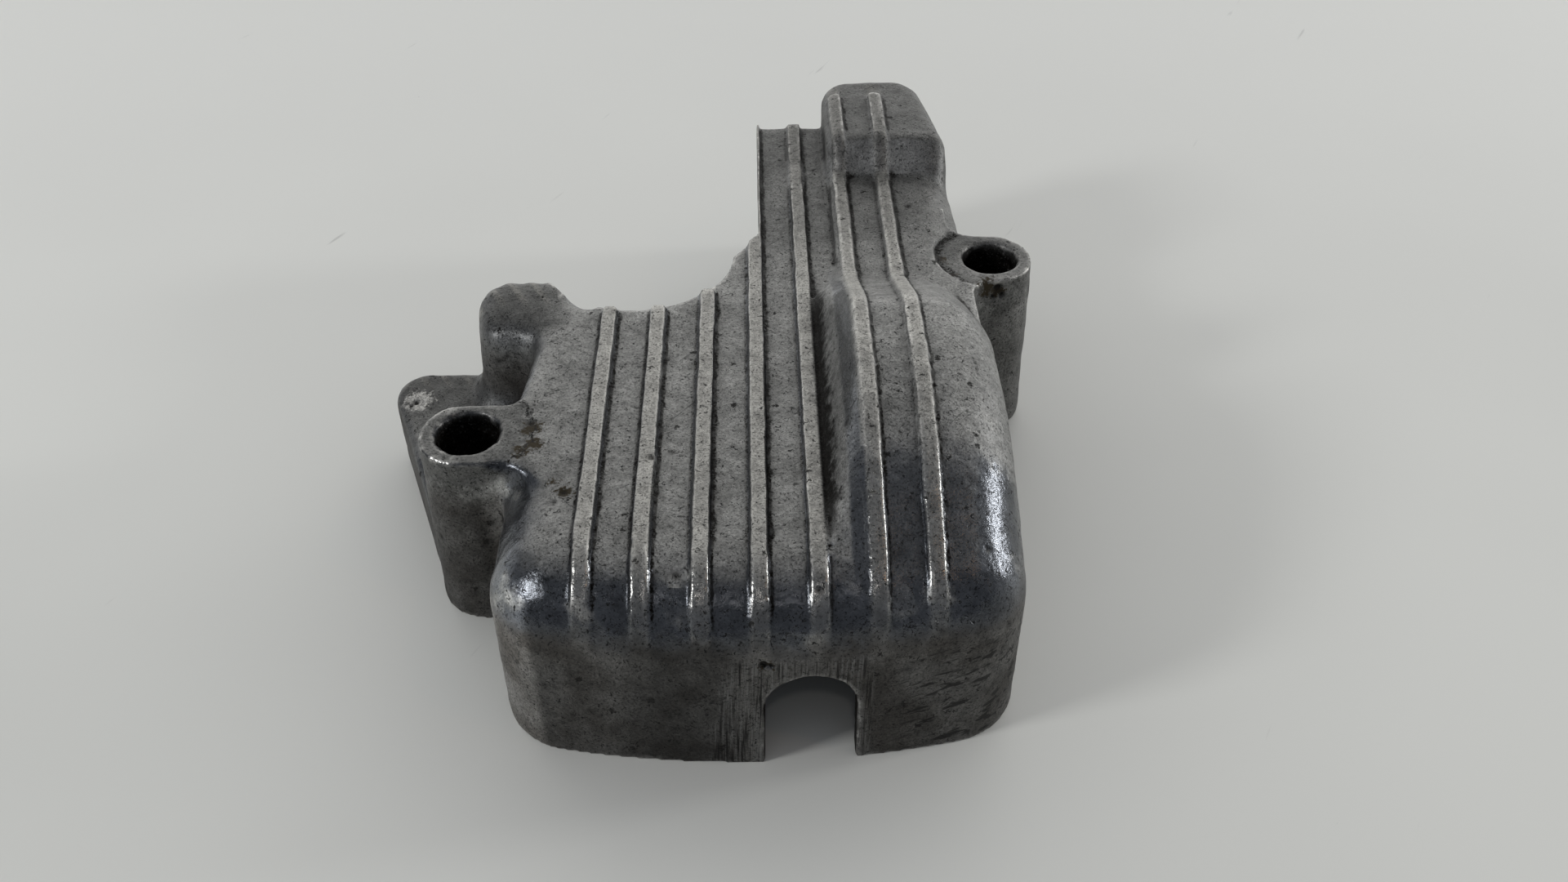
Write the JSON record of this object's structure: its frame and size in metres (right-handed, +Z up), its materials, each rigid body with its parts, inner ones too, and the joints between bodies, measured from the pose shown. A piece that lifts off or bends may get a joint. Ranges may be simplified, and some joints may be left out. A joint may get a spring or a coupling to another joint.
{
  "type": "oil pump cover",
  "caption": "Cast cover with a ribbed top, a raised dome and a rear arm, open underneath, with a screw boss on each side, a round relief and a notch in its front wall.",
  "frame": {"origin": "axis of the left screw hole, in the mounting face", "axes": "+Z up out of the ribbed top, +Y towards the rear arm along the ribs, +X towards the right screw hole"},
  "size_m": [0.0839, 0.1047, 0.0324],
  "materials": {
    "cast_aluminium": "worn as-cast surface, burnished on rounded edges and rib tops"
  },
  "bodies": {
    "root": {"pump_cover": "cast_aluminium"}
  },
  "joints": []
}
